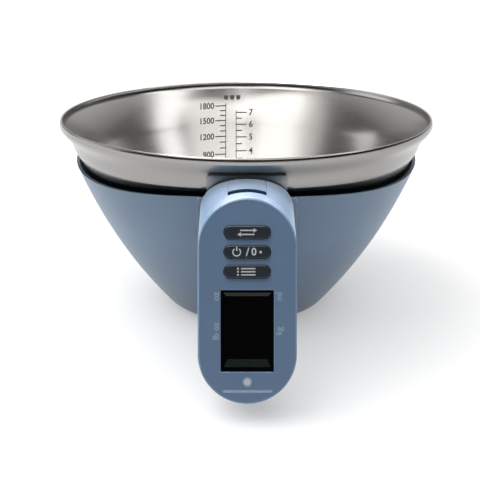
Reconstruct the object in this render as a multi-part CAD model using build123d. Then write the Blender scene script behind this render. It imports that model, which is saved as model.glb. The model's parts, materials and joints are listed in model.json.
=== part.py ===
from build123d import *
import os
from math import asin, cos, degrees, hypot, radians, sin, sqrt, tan

# Kitchen scale: a steel bowl stands on a weighing platform inside a conical plastic
# shell, and a jug-type handle in front of the shell holds the display and buttons.
# Millimetres. The bowl's axis is Z, the floor is Z = 0 and the handle points to -Y.

# ---- driving dimensions: bowl and shell ----
rim_radius = 110.0
rim_height = 119.0
shell_rim_radius = 103.0
shell_rim_height = 97.0
shell_foot_radius = 46.5
shell_bulge = 5.45
shell_wall = 1.8
shell_bottom = 1.2
shell_bottom_fillet = 13.0
rim_middle = 94.95
rim_wave = 2.85
bowl_inset = 3.9
steel = 0.8
bowl_floor = 16.2
bowl_fillet = 14.0
wall_top = 90.0
hem_height = 4.0
hem_thickness = 1.7

# ---- driving dimensions: weighing base ----
opening_radius = 38.0
base_radius = 37.7
plate_thickness = 2.2
pad_radius = 36.5
ledge_top = 14.2
ledge_thickness = 1.6
ledge_hole_radius = 30.5
platform_radius = 29.0
platform_thickness = 2.0
soft_pad = 1.0
cell_length = 47.0
cell_width = 12.0
cell_height = 6.0
cell_lift = 1.2
cell_hole_pitch = 6.0
cell_screw_inset = 7.0
cell_block = 6.0
cell_bore_radius = 2.2
cell_bore_x = 3.4
base_screw_circle = 34.0
base_screw_count = 4

# ---- driving dimensions: self-tapping screws of the casing ----
boss_radius = 3.4
slim_boss_radius = 2.9
pilot_radius = 1.3
pass_radius = 1.4
shank_radius = 1.25
head_radius = 2.5
head_space = 2.7
head_height = 1.25

# ---- driving dimensions: machine screws of the load cell ----
cell_thread_radius = 1.5
cell_shank_radius = 1.45
cell_pass_radius = 1.7
cell_head_radius = 2.8
cell_head_space = 3.1

# ---- driving dimensions: handle ----
lean = 20.5
face_top_y = -123.2
face_top_z = 103.4
face_length = 96.4
face_width = 46.6
handle_depth = 24.0
cover_depth = 3.0
rear_wall = 2.6
side_wall = 2.2
rear_fillet = 5.0
neck_rise = 16.2
neck_reach = 60.0
neck_back_radius = 104.3
neck_wall = 2.2
finger_radius = 9.0
finger_top = 72.0
flange_width = 2.2
flange_height = 1.6

# ---- driving dimensions: face of the handle ----
window_width = 25.1
window_height = 38.4
window_centre = -14.0
button_width = 22.0
button_height = 6.0
button_rows = {"unit_button": 32.2, "zero_button": 23.0, "mode_button": 13.8}
mark_height = -37.9
mark_radius = 2.1
rule_height = -42.2
rule_width = 23.0

# ---- driving dimensions: batteries and electronics ----
board_front = -8.6
board_thickness = 1.2
board_length = 84.0
board_width = 37.0
display_half_width = 12.9
display_half_height = 20.3
display_rear = -5.4
battery_radius = 5.1
battery_length = 44.5
battery_spread = 5.6
battery_depth = -15.8
battery_foot = -34.6
bay_half_width = 11.5
bay_low = -36.6
bay_high = 12.0
door_half_width = 12.0
door_thickness = 2.2
rail_width = 0.7
rail_depth = -22.5
cable_width = 5.0
cable_thickness = 0.4
cable_pass_z = 87.5
connector_y = 30.0
connector_height = 5.0

# ---- driving dimensions: thumb lock ----
tab_width = 18.2
tab_back_y = -105.0
tab_front_y = -115.2
slot_length = 3.0
tab_skin = 2.0
pivot_y = -107.6
pivot_z = 103.2
pin_radius = 0.8
pin_half_length = 10.6
nose_z = 99.9
nose_tip_y = -103.0
nose_width = 8.0
spring_y = -112.8
spring_seat_z = 98.0

# ---- driving dimensions: bowl bracket ----
bracket_thickness = 1.0
bracket_half_width = 20.0
bracket_low = 97.9
bracket_high = 109.3
bracket_gap = 1.2
bracket_corner = 2.2
lock_window_width = 10.0

clearance = 0.25
far = 400.0

# The shell's side is one arc from the foot circle to the rim, bulging outwards.
side_run = shell_rim_radius - shell_foot_radius
side_chord = hypot(side_run, shell_rim_height)
side_radius = (side_chord**2 / 4 + shell_bulge**2) / (2 * shell_bulge)
side_sink = (side_radius - shell_bulge) / side_chord
side_centre_r = (shell_rim_radius + shell_foot_radius) / 2 - side_sink * shell_rim_height
side_centre_z = shell_rim_height / 2 + side_sink * side_run


def wall_radius(z, inset=0.0):
    """Radius at height z of the shell's outer surface moved inwards by inset."""
    return side_centre_r + sqrt((side_radius - inset) ** 2 - (z - side_centre_z) ** 2)


def wall_slope(z, inset=0.0):
    """Angle of that surface from the vertical, in degrees."""
    return degrees(asin((side_centre_z - z) / (side_radius - inset)))


def turned(section):
    """Full turn of a section drawn in the XZ plane, about the bowl's axis."""
    return revolve(section, axis=Axis.Z, revolution_arc=360)


def ring(inner, outer, low, high):
    """Plain upright ring, or a disc when inner is 0."""
    body = Pos(0, 0, low) * Cylinder(outer, high - low, align=(Align.CENTER, Align.CENTER, Align.MIN))
    if inner > 0:
        hole = Cylinder(inner, high - low + 2, align=(Align.CENTER, Align.CENTER, Align.MIN))
        body -= Pos(0, 0, low - 1) * hole
    return body


def plug(inset, low, high):
    """Solid inside the shell's outer surface moved inwards by inset."""
    middle = (low + high) / 2
    points = [(wall_radius(z, inset), 0, z) for z in (low, middle, high)]
    axis_low = (0, 0, low)
    axis_high = (0, 0, high)
    side = ThreePointArc(*points)
    outline = Curve() + [
        Line(axis_low, points[0]),
        side,
        Line(points[2], axis_high),
        Line(axis_high, axis_low),
    ]
    return turned(make_face(outline))


def bottom_edges(solid):
    """Lowest circular edge group of a solid."""
    return solid.edges().filter_by(GeomType.CIRCLE).sort_by(Axis.Z)[0]


def box(x, y, z):
    """Box from three (low, high) pairs."""
    size = [high - low for low, high in (x, y, z)]
    middle = [(high + low) / 2 for low, high in (x, y, z)]
    return Pos(*middle) * Box(*size)


def rod(plane, radius, start, end):
    """Cylinder along a plane's normal, from start to end."""
    disc = plane.offset(min(start, end)) * Circle(radius)
    return extrude(disc, abs(end - start), dir=plane.z_dir)


def joined(solids):
    """Separate solids kept together as one node."""
    return Compound(children=[part for solid in solids for part in solid.solids()])


# ---- bowl -------------------------------------------------------------------

neck_points = [
    (98.2, 94.6),
    (99.9, 98.0),
    (102.1, 101.8),
    (103.4, 105.4),
    (105.2, 109.3),
    (108.2, 113.0),
]


def bowl_outline(inset, floor):
    """Curve of the bowl's wall from its axis to the foot of the hem."""
    drift = inset - bowl_inset
    low_r = wall_radius(floor, inset)
    top = (wall_radius(wall_top, inset), 0, wall_top)
    middle_z = (floor + wall_top) / 2
    middle = (wall_radius(middle_z, inset), 0, middle_z)
    side = ThreePointArc((low_r, 0, floor), middle, top)
    flat = Line((0, 0, floor), (low_r, 0, floor))
    slope = radians(wall_slope(wall_top, inset))
    flare = [top] + [(r - drift * 0.9, 0, z + drift * 0.45) for r, z in neck_points]
    hem_foot = (rim_radius - 0.3 - drift, 0, rim_height - hem_height + 0.6)
    crown = Spline(*flare, hem_foot, tangents=[(sin(slope), 0, cos(slope)), (0.35, 0, 1)])
    return flat, side, crown, hem_foot


def bowl_plug(inset, floor, corner):
    """Solid enclosed by one surface of the bowl."""
    flat, side, crown, hem_foot = bowl_outline(inset, floor)
    roof = (0, 0, hem_foot[2])
    outline = Curve() + [flat, side, crown, Line(hem_foot, roof), Line(roof, (0, 0, floor))]
    solid = turned(make_face(outline))
    edge = solid.edges().filter_by(GeomType.CIRCLE).sort_by(Axis.Z)[0]
    return fillet(edge, corner)


def steel_bowl():
    """Pressed bowl with a folded hem round its rim."""
    outside = bowl_plug(bowl_inset, bowl_floor, bowl_fillet)
    inside = bowl_plug(bowl_inset + steel, bowl_floor + steel, bowl_fillet - steel)
    top = rim_height - hem_height
    hem = ring(rim_radius - hem_thickness, rim_radius, top, rim_height)
    hem = fillet(hem.edges().filter_by(GeomType.CIRCLE), hem_thickness * 0.45)
    mouth = ring(0, rim_radius - hem_thickness + 0.2, top + 0.2, rim_height + 5)
    return outside - inside - mouth + hem


def bowl_surface(offset):
    """Solid inside the bowl's outer surface moved outwards by offset."""
    return bowl_plug(bowl_inset - offset, bowl_floor - offset, bowl_fillet + offset)


def bowl_bracket():
    """Steel plate welded to the bowl's neck, with a window that the thumb lock enters."""
    middle = (bracket_high + bracket_low) / 2
    front = Plane(origin=(0, 0, middle), x_dir=(1, 0, 0), z_dir=(0, -1, 0))
    outline = RectangleRounded(2 * bracket_half_width, bracket_high - bracket_low, bracket_corner)
    plate = extrude(front * outline, far) & bowl_surface(bracket_thickness)
    half = lock_window_width / 2
    window = box((-half, half), (-far, 0), (bracket_low + 1.0, nose_z + 2.7))
    return plate - window - bowl_surface(0)


# ---- shell and weighing base --------------------------------------------------

def rim_line(y):
    """Height of the shell's rim, which rises and falls three times round the bowl."""
    turn_cos = -y / shell_rim_radius
    return rim_middle + rim_wave * (4 * turn_cos**3 - 3 * turn_cos)


def rim_cutter():
    """Everything above the waved rim."""
    reach = shell_rim_radius * 1.03
    steps = 16
    places = [reach * (2 * i / steps - 1) for i in range(steps + 1)]
    points = [(0, y, rim_line(y)) for y in places]
    high = shell_rim_height + 20
    corners = [points[-1], (0, reach, high), (0, -reach, high), points[0]]
    return extrude(make_face(Curve() + [Spline(*points), Polyline(*corners)]), far, both=True)


def base_screw_places():
    """Places of the base screws, clear of the load cell."""
    return PolarLocations(base_screw_circle, base_screw_count, start_angle=45)


def outer_shell():
    """Conical shell with an inner ledge, screw bosses and holes for cable and screws."""
    top = shell_rim_height + 2
    body = plug(0, shell_bottom, top)
    body = fillet(bottom_edges(body), shell_bottom_fillet)
    hollow = plug(shell_wall, ledge_top, top + 1)
    lower = plug(shell_wall, shell_bottom + shell_wall, ledge_top - ledge_thickness)
    lower = fillet(bottom_edges(lower), shell_bottom_fillet - shell_wall)
    body -= hollow
    body -= lower
    body -= ring(0, opening_radius, 0, shell_bottom + shell_wall + 1)
    body -= ring(0, ledge_hole_radius, 0, ledge_top + 1)
    boss_low = shell_bottom + plate_thickness
    for place in base_screw_places():
        body += place * ring(0, boss_radius, boss_low, ledge_top)
        body -= place * ring(0, pilot_radius, boss_low - 1, ledge_top - 1)
    body -= rim_cutter()
    body -= cable_tunnel(clearance)
    body -= cable_notch()
    for plane in neck_screw_planes():
        body -= rod(plane, pass_radius - 0.05, -4, 1)
        body -= screw_head(plane, -shell_wall, head_space)
    return body


def base_plate():
    """Round bottom cover with countersunk screw holes."""
    top = shell_bottom + plate_thickness
    plate = ring(0, base_radius, shell_bottom, top)
    for place in base_screw_places():
        plate -= place * ring(0, pass_radius, 0, top + 1)
        plate -= place * ring(0, head_space, 0, shell_bottom + head_height + 0.05)
    for place in cell_screw_places(-1):
        plate -= place * ring(0, cell_pass_radius, 0, top + 1)
        plate -= place * ring(0, cell_head_space, 0, shell_bottom + head_height + 0.05)
    return plate


def base_pad():
    """Non-slip rubber disc with a shallow ring groove."""
    disc = ring(0, pad_radius, 0, shell_bottom)
    disc = chamfer(bottom_edges(disc), 0.4)
    return disc - ring(pad_radius - 6, pad_radius - 4, -1, 0.5)


def base_screws():
    """Screws from the bottom cover into the shell's bosses."""
    screws = []
    for place in base_screw_places():
        head = ring(0, head_radius, shell_bottom + 0.05, shell_bottom + head_height + 0.05)
        shank = ring(0, shank_radius, shell_bottom + head_height + 0.05, shell_bottom + 9)
        screws.append(place * (head + shank))
    return joined(screws)


cell_low = shell_bottom + plate_thickness + cell_lift
cell_high = cell_low + cell_height
platform_high = bowl_floor - soft_pad
platform_low = platform_high - platform_thickness


def cell_screw_places(side):
    """Two screw places at one end of the load cell."""
    middle = side * (cell_length / 2 - cell_screw_inset)
    half = cell_hole_pitch / 2
    return [Location((middle + step, 0, 0)) for step in (-half, half)]


def load_cell():
    """Aluminium bending beam with the twin bores of a single-point cell."""
    half = cell_length / 2
    beam = box((-half, half), (-cell_width / 2, cell_width / 2), (cell_low, cell_high))
    middle = (cell_low + cell_high) / 2
    for x in (-cell_bore_x, cell_bore_x):
        beam -= Pos(x, 0, middle) * Rot(90, 0, 0) * Cylinder(cell_bore_radius, cell_width + 2)
    beam -= box((-cell_bore_x, cell_bore_x), (-far, far), (middle - 0.5, middle + 0.5))
    for side in (-1, 1):
        for place in cell_screw_places(side):
            beam -= place * ring(0, cell_thread_radius, cell_low - 1, cell_high + 1)
    return beam


def gauge_seal():
    """White sealant over the strain gauges, on the front side of the beam."""
    front = -cell_width / 2
    middle = (cell_low + cell_high) / 2
    bead = box((-8, 8), (front - 1.0, front), (middle - 2.4, middle + 2.4))
    edges = bead.faces().sort_by(Axis.Y)[0].edges()
    return fillet(edges, 0.7)


def cell_spacer():
    """Spacer that lifts the load cell's fixed end off the bottom cover."""
    middle = -(cell_length / 2 - cell_screw_inset)
    low = shell_bottom + plate_thickness
    across = (middle - cell_block, middle + cell_block)
    plate = box(across, (-cell_block, cell_block), (low, cell_low))
    for place in cell_screw_places(-1):
        plate -= place * ring(0, cell_pass_radius, low - 1, cell_low + 1)
    return plate


def cell_screws():
    """Two screws at the fixed end, from below, and two at the free end, from above."""
    screws = []
    for place in cell_screw_places(-1):
        head = ring(0, cell_head_radius, shell_bottom + 0.05, shell_bottom + head_height + 0.05)
        shank = ring(0, cell_shank_radius, shell_bottom + head_height + 0.05, cell_high - 0.5)
        screws.append(place * (head + shank))
    for place in cell_screw_places(1):
        head = ring(0, cell_head_radius, platform_high - 1.2, platform_high)
        shank = ring(0, cell_shank_radius, cell_low + 0.5, platform_high - 1.2)
        screws.append(place * (head + shank))
    return joined(screws)


def weighing_platform():
    """Disc on the free end of the load cell, with a stiffening ring underneath."""
    disc = ring(0, platform_radius, platform_low, platform_high)
    disc += ring(platform_radius - 2, platform_radius, platform_low - 1.2, platform_high)
    disc = chamfer(disc.edges().filter_by(GeomType.CIRCLE).sort_by(Axis.Z)[-1], 0.5)
    middle = cell_length / 2 - cell_screw_inset
    across = (middle - cell_block, middle + cell_block)
    disc += box(across, (-cell_block, cell_block), (cell_high, platform_low))
    for place in cell_screw_places(1):
        disc -= place * ring(0, cell_thread_radius, cell_high - 1, platform_high + 1)
        disc -= place * ring(0, cell_head_radius + 0.1, platform_high - 1.2, platform_high + 1)
    return disc


def platform_pads():
    """Four soft discs that the bowl stands on."""
    pad = ring(0, 4.5, platform_high, bowl_floor)
    pad = fillet(pad.edges().sort_by(Axis.Z)[-1], 0.3)
    return joined([place * pad for place in PolarLocations(21, 4, start_angle=45)])


# ---- frames of the handle and the wall ----------------------------------------

lean_sin = sin(radians(lean))
lean_cos = cos(radians(lean))
face_y = face_top_y - lean_sin * face_length / 2
face_z = face_top_z - lean_cos * face_length / 2
face = Plane(origin=(0, face_y, face_z), x_dir=(1, 0, 0), z_dir=(0, -lean_cos, lean_sin))
rear_centre_z = face_z - handle_depth * lean_sin
rise = radians(neck_rise)
neck_dir = (0, cos(rise), sin(rise))
neck_turn = radians(neck_rise + lean)
neck_shift = cover_depth * tan(neck_turn)


def on_face(x, y, z):
    """Point given in the handle's own frame: x across, y up the face, z out of it."""
    return face.from_local_coords(Vector(x, y, z))


def face_box(x, y, z):
    """Box given in the handle's own frame."""
    return face.location * box(x, y, z)


def face_rod(x, y, radius, low, high):
    """Cylinder along the face's normal."""
    return face.location * Pos(x, y, 0) * ring(0, radius, low, high)


def face_height(shape):
    """Height of a shape's centre above the face plane."""
    return face.to_local_coords(shape.center()).Z


def level_faces(solid):
    """Faces parallel to the handle's face, lowest first."""
    return solid.faces().filter_by(Axis(face.origin, face.z_dir)).sort_by(face_height)


def rear_face(solid):
    """Rearmost face of a solid of the handle."""
    return level_faces(solid)[0]


def top_face(solid):
    """Foremost face of a solid of the handle."""
    return level_faces(solid)[-1]


def pill(width, height, y, low, high):
    """Pill-shaped prism lying across the face."""
    outline = SlotOverall(width, height)
    return face.location * Pos(0, y, low) * extrude(outline, high - low)


def body_outline(inset):
    """Long rounded outline of the handle, moved inwards by inset."""
    return SlotOverall(face_length - 2 * inset, face_width - 2 * inset, rotation=90)


def neck_outline(inset):
    """Handle's outline behind the cover, moved up to lie on the neck's line from the face."""
    return face.location * Pos(0, neck_shift, -cover_depth) * body_outline(inset)


def body_prism(inset, low, high):
    """Prism of the handle's outline between two depths."""
    return face.location * Pos(0, 0, low) * extrude(body_outline(inset), high - low)


def wall_plane(z):
    """Plane that touches the front of the shell at height z, facing outwards."""
    slope = radians(wall_slope(z))
    return Plane(
        origin=(0, -wall_radius(z), z), x_dir=(1, 0, 0), z_dir=(0, -cos(slope), -sin(slope))
    )


def neck_screw_planes():
    """Axes of the two screws that hold the neck to the shell."""
    base = wall_plane(86.0)
    return [Plane(Rot(0, 0, turn) * base.location) for turn in (-8.0, 8.0)]


def screw_head(plane, start, radius):
    """Countersunk head, widest at start and narrowing along the plane's normal."""
    cone = Cone(radius, shank_radius, 1.4, align=(Align.CENTER, Align.CENTER, Align.MIN))
    return plane.location * Pos(0, 0, start) * cone


# ---- neck --------------------------------------------------------------------

def finger_space(inset):
    """Space under the neck, rounded where the handle meets the shell."""
    rear_y = face_y + handle_depth * lean_cos + (finger_top - rear_centre_z) * tan(radians(lean))
    touch = Vector(0, rear_y, finger_top)
    centre = touch + Vector(0, lean_cos, -lean_sin) * finger_radius
    radius = finger_radius + inset
    slope = radians(wall_slope(finger_top))
    front = centre + Vector(0, -lean_cos, lean_sin) * radius
    back = centre + Vector(0, cos(slope), sin(slope)) * radius
    front_low = front + Vector(0, -lean_sin, -lean_cos) * far
    back_low = back + Vector(0, sin(slope), -cos(slope)) * far
    wedge = Plane.YZ * Polygon(
        *[(p.Y, p.Z) for p in (front, centre, back, back_low, front_low)], align=None
    )
    rod_shape = Pos(0, centre.Y, centre.Z) * Rot(0, 90, 0) * Cylinder(radius, far)
    return rod_shape + extrude(wedge, far / 2, both=True)


def neck_block(inset, retreat):
    """Arched neck that runs back and up from the handle, with its back moved forwards by retreat."""
    block = extrude(neck_outline(inset), neck_reach, dir=neck_dir)
    block -= finger_space(inset)
    block &= box((-far, far), (-far, -60), (40, far))
    block -= ring(0, neck_back_radius + retreat, 0, far)
    return block - bowl_surface(bracket_thickness + bracket_gap + retreat)


front_rim = rim_line(-shell_rim_radius * 0.97)


def neck_root(inset, offset):
    """Lower rear part of the neck, down to the shell's outer surface."""
    block = extrude(neck_outline(inset), neck_reach, dir=neck_dir)
    block -= finger_space(inset)
    block &= box((-far, far), (-far, -60), (finger_top + 1.2, front_rim - inset))
    return block - plug(-offset, shell_bottom, shell_rim_height + 30)


def neck_flange():
    """Rim round the neck's root that lies on the shell."""
    block = extrude(neck_outline(-flange_width), neck_reach, dir=neck_dir)
    block &= box((-far, far), (-far, -60), (finger_top - 1.5, front_rim - 0.3))
    skin = plug(-flange_height - 0.05, shell_bottom, shell_rim_height + 2)
    return block & (skin - plug(-0.05, shell_bottom - 1, shell_rim_height + 3))


# ---- handle ------------------------------------------------------------------

head_seat = -handle_depth + 2.0
handle_screw_spots = [(-16.5, 22.0), (16.5, 22.0), (-16.1, -33.0), (16.1, -33.0)]


def handle_front():
    """Flat face cover with the window, the button holes and a locating rim."""
    cover = body_prism(0, -cover_depth, 0)
    cover += extrude(face.location * body_outline(0), cover_depth / cos(neck_turn), dir=neck_dir)
    cover = chamfer(top_face(cover).edges(), 0.6)
    rim = body_prism(side_wall + clearance, -cover_depth - 2, -cover_depth)
    rim -= body_prism(side_wall + clearance + 1.2, -cover_depth - 3, -cover_depth + 1)
    cover += rim
    half_w = window_width / 2
    half_h = window_height / 2
    low, high = window_centre - half_h, window_centre + half_h
    cover -= face_box((-half_w, half_w), (low, high), (-1.4, 1))
    cover -= face_box((1 - half_w, half_w - 1), (low + 1, high - 1), (-cover_depth - 1, 1))
    for y in button_rows.values():
        cover -= pill(button_width + 0.5, button_height + 0.5, y, -cover_depth - 1, 1)
    for x, y in handle_screw_spots:
        cover += face_rod(x, y, slim_boss_radius, -6, -cover_depth)
        cover -= face_rod(x, y, shank_radius, -7, -1.4)
    cover -= face_mark()
    return cover


def face_mark():
    """Inlaid ring and rule below the window."""
    dot = face_rod(0, mark_height, mark_radius, -0.3, 0)
    dot -= face_rod(0, mark_height, mark_radius - 0.7, -1, 1)
    rule = pill(rule_width, 0.8, rule_height, -0.3, 0)
    return joined([dot, rule])


def display_window():
    """Dark lens let into the cover."""
    half_w = window_width / 2 - 0.1
    half_h = window_height / 2 - 0.1
    low, high = window_centre - half_h, window_centre + half_h
    lens = face_box((-half_w, half_w), (low, high), (-1.4, -0.15))
    return fillet(lens.edges().filter_by(Axis(face.origin, face.z_dir), tolerance=1), 0.8)


def push_button(y):
    """Pill-shaped cap with a retaining flange and a stem that works the switch."""
    cap = pill(button_width, button_height, y, -cover_depth - 0.3, 0.7)
    cap = fillet(top_face(cap).edges(), 0.5)
    cap += pill(button_width + 2, button_height + 2, y, -4.4, -cover_depth - 0.3)
    return cap + face_rod(0, y, 1.5, -7.2, -4.4)


def tact_switches():
    """Three board switches with a bore for the button's stem."""
    switches = []
    for y in button_rows.values():
        block = face_box((-3, 3), (y - 3, y + 3), (board_front, -5.5))
        switches.append(block - face_rod(0, y, 1.6, -8.2, -5))
    return joined(switches)


def circuit_board():
    """Round-ended board, notched round the screw bosses."""
    low = board_front - board_thickness
    outline = SlotOverall(board_length, board_width, rotation=90)
    board = face.location * Pos(0, 0, low) * extrude(outline, board_thickness)
    for x, y in handle_screw_spots:
        board -= face_rod(x, y, slim_boss_radius + 0.6, low - 1, board_front + 1)
    return board


def controller_chip():
    """Controller on the front of the board, above the top button."""
    return face_box((-3.5, 3.5), (36.2, 40.6), (board_front, board_front + 1.1))


def display_box(margin, low, high):
    """Box behind the window, margin smaller all round than the display holder."""
    half_w = display_half_width - margin
    half_h = display_half_height - margin
    return face_box((-half_w, half_w), (window_centre - half_h, window_centre + half_h), (low, high))


def lcd_frame():
    """Plastic holder between the board and the cover that carries the display."""
    frame = display_box(0, board_front, -cover_depth - 0.25)
    frame -= display_box(1.3, display_rear, 0)
    return frame - display_box(3.1, board_front - 1, 0)


def lcd_panel():
    """Display glass."""
    return display_box(1.5, display_rear, -cover_depth - 0.6)


def zebra_strips():
    """Two elastic contact strips between the display and the board."""
    strips = []
    for x in (-8.8, 7.2):
        rows = (window_centre - 16, window_centre + 16)
        strips.append(face_box((x, x + 1.6), rows, (board_front, display_rear)))
    return joined(strips)


def door_recess(grow):
    """Channel for the battery door, open at the handle's lower end."""
    half = door_half_width + grow
    low = -handle_depth - 1
    high = -handle_depth + door_thickness + grow * 0.4
    slab = face_box((-half, half), (-far, bay_high + 1 + grow), (low, high))
    rail = half + rail_width
    rail_half = 0.4 + grow * 0.4
    depths = (rail_depth - rail_half, rail_depth + rail_half)
    return slab + face_box((-rail, rail), (-far, bay_high + 1 + grow), depths)


def rear_case_outside():
    """Outer form of the deep rear case, with rounded rear edges."""
    case = body_prism(0, -handle_depth, -cover_depth)
    return fillet(rear_face(case).edges(), rear_fillet)


def rear_case_cavity():
    """Inside of the deep rear case."""
    cavity = body_prism(side_wall, -handle_depth + rear_wall, 1)
    return fillet(rear_face(cavity).edges(), rear_fillet - rear_wall)


def handle_rear():
    """Deep rear case with its neck, flange, bosses and openings."""
    case = rear_case_outside() + neck_block(0, 0) + neck_root(0, 0.05)
    case += neck_flange()
    hollow = neck_block(neck_wall, neck_wall)
    hollow &= box((-far, far), (-far, far), (pivot_z - 30, far))
    case -= rear_case_cavity() + hollow
    for plane in neck_screw_planes():
        case += rod(plane, slim_boss_radius, 1.0, 9.0) & rear_case_outside_neck()
        case -= rod(plane, pilot_radius, -2, 8)
    for x, y in handle_screw_spots:
        case += face_rod(x, y, slim_boss_radius, -handle_depth + 1.5, -6.1)
        case -= face_rod(x, y, pass_radius, -far, 0)
        case -= face_rod(x, y, head_space - 0.1, -far, head_seat)
    case -= door_recess(clearance)
    case -= face_box((-bay_half_width, bay_half_width), (bay_low, bay_high - 3), (-far, -20))
    case -= tab_opening()
    case -= lock_window()
    case -= cable_tunnel(clearance)
    case += lock_supports()
    case -= rod(pivot, pin_radius + 0.02, -pin_half_length - 0.1, pin_half_length + 0.1)
    return case


def rear_case_outside_neck():
    """Solid form of the neck, used to trim what stands inside it."""
    return neck_block(0.5, 0) + neck_root(0.5, 0.5)


def battery_door():
    """Sliding door with side rails and a ribbed thumb grip."""
    door = rear_case_outside() & door_recess(0)
    for step in range(4):
        y = bay_high - 4 - 2.2 * step
        door -= face_box((-6, 6), (y, y + 0.9), (-far, -handle_depth + 0.5))
    return door


def battery_tray():
    """Open tray that holds the two cells."""
    low, high = bay_low - 1, bay_high + 1
    tray = face_box((-12.7, 12.7), (low, high), (-21.3, -9.9))
    tray -= face_box((-11.7, 11.7), (bay_low, bay_high), (-30, -10.6))
    return tray


def batteries():
    """Two round cells with their positive tips."""
    cells = []
    for side in (-1, 1):
        foot = on_face(side * battery_spread, battery_foot, battery_depth)
        axis = Plane(origin=foot, z_dir=face.y_dir)
        cell = rod(axis, battery_radius, 0, battery_length - 1.0)
        cell = fillet(cell.edges(), 0.5)
        cell += rod(axis, 1.9, battery_length - 1.0, battery_length)
        if side > 0:
            middle = on_face(side * battery_spread, battery_foot + battery_length / 2, battery_depth)
            cell = cell.rotate(Axis(middle, face.z_dir), 180)
        cells.append(cell)
    return joined(cells)


def coil(radius, wire, pitch, turns):
    """Round wire wound into an open coil along +Z."""
    path = Helix(pitch=pitch, height=pitch * turns, radius=radius)
    section = Plane(origin=path @ 0, z_dir=path % 0) * Circle(wire / 2)
    return sweep(section, path=path, is_frenet=True)


def battery_springs():
    """Coil contacts at the cells' flat ends."""
    springs = []
    spring = coil(2.8, 0.5, 0.75, 1.5)
    ends = ((-battery_spread, bay_low + 0.4, face.y_dir), (battery_spread, bay_high - 0.4, -face.y_dir))
    for x, y, direction in ends:
        end = Plane(origin=on_face(x, y, battery_depth), z_dir=direction)
        springs.append(end.location * spring)
    return joined(springs)


def battery_contacts():
    """Flat contacts at the cells' tips."""
    high = battery_foot + battery_length
    plates = [face_box((-9, -2.2), (high + 0.1, high + 0.5), (-19, -12.5))]
    plates.append(face_box((2.2, 9), (battery_foot - 0.5, battery_foot - 0.1), (-19, -12.5)))
    return joined(plates)


def handle_screws():
    """Screws from the rear case into the face cover."""
    screws = []
    for x, y in handle_screw_spots:
        head = face_rod(x, y, head_radius - 0.1, -handle_depth + 0.5, head_seat)
        screws.append(head + face_rod(x, y, shank_radius - 0.05, head_seat, -1.8))
    return joined(screws)


def neck_screws():
    """Countersunk screws from inside the shell into the neck."""
    screws = []
    for plane in neck_screw_planes():
        head = screw_head(plane, -shell_wall, head_radius)
        screws.append(head + rod(plane, shank_radius, -shell_wall + 0.5, 7.5))
    return joined(screws)


# ---- sensor cable -------------------------------------------------------------

def cable_strip(width, thickness):
    """Flat cable from the neck's inner end to the board's connector."""
    start = Vector(0, -wall_radius(cable_pass_z, shell_wall + 0.1), cable_pass_z)
    bend = Vector(0, -neck_back_radius - 2, cable_pass_z)
    end = on_face(0, connector_y + 1, board_front - board_thickness - connector_height - 0.2)
    end = Vector(0, end.Y, end.Z)
    line = Polyline(*[(p.Y, p.Z) for p in (start, bend, end)])
    band = Plane.YZ * trace(line, thickness)
    return extrude(band, width / 2, both=True)


def cable_tunnel(grow):
    """Slot through the shell's wall and the neck's root for the cable."""
    half = cable_width / 2 + grow
    heights = (cable_pass_z - 0.7, cable_pass_z + 0.7)
    return box((-half, half), (-neck_back_radius - 6, -60), heights)


def cable_notch():
    """Notch in the shell's ledge that the cable rises through."""
    low = ledge_top - ledge_thickness
    reach = -wall_radius(low, shell_wall) + 3.0
    half = cable_width / 2 + clearance
    return plug(shell_wall, low - 1, ledge_top + 1) & box((-half, half), (-far, reach), (0, far))


def sensor_cable():
    """Flat cable from the strain gauge, up the shell's wall, to the circuit board."""
    half = cable_width / 2
    low = ledge_top - ledge_thickness - 3.4
    high = cable_pass_z + cable_thickness / 2
    skin = plug(shell_wall + 0.05, low, high)
    skin -= plug(shell_wall + 0.05 + cable_thickness, low - 1, high + 1)
    riser = skin & box((-half, half), (-far, -20), (0, far))
    foot = -wall_radius(low, shell_wall + 0.3)
    floor = box((-half, half), (foot, -cell_width / 2 - 1.0), (low, low + cable_thickness))
    return riser + floor + cable_strip(cable_width, cable_thickness)


def cable_connector():
    """Socket on the back of the board that takes the cable."""
    low = board_front - board_thickness
    return face_box((-4.5, 4.5), (connector_y - 1.5, connector_y + 3), (low - connector_height, low))


# ---- thumb lock ----------------------------------------------------------------

pivot = Plane(origin=(0, pivot_y, pivot_z), x_dir=(0, 1, 0), z_dir=(1, 0, 0))


def neck_skin(thickness):
    """Top skin of the neck."""
    return neck_block(0, 0) - neck_block(thickness, -4)


def tab_opening():
    """Opening in the top of the neck for the tab and the slot before it."""
    half = tab_width / 2 + clearance
    space = box((-half, half), (tab_front_y - slot_length, tab_back_y + 4), (96.5, far))
    return space - ring(0, neck_back_radius - 1, 0, far)


def thumb_lock():
    """Thumb tab, its pivot lugs and the nose that swings back into the bracket."""
    half = tab_width / 2
    area = box((-half, half), (tab_front_y, tab_back_y), (90, far))
    tab = neck_skin(tab_skin) & area
    lug_depth = (pivot_y - 1.8, pivot_y + 1.8)
    lugs = box((1 - half, half - 1), lug_depth, (pivot_z - 1.6, pivot_z + 3.2))
    lugs &= neck_block(0.6, 0)
    lever = tab + lugs
    across = (-nose_width / 2, nose_width / 2)
    arm = box(across, (pivot_y - 1.8, pivot_y + 1.4), (nose_z - 0.3, pivot_z))
    nose = box(across, (pivot_y, nose_tip_y), (nose_z - 0.3, nose_z + 1.0))
    lever = lever + arm + nose
    return lever - rod(pivot, pin_radius + 0.05, -far, far)


def lock_pin():
    """Steel pin that the tab turns on."""
    return rod(pivot, pin_radius, -pin_half_length, pin_half_length)


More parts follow.
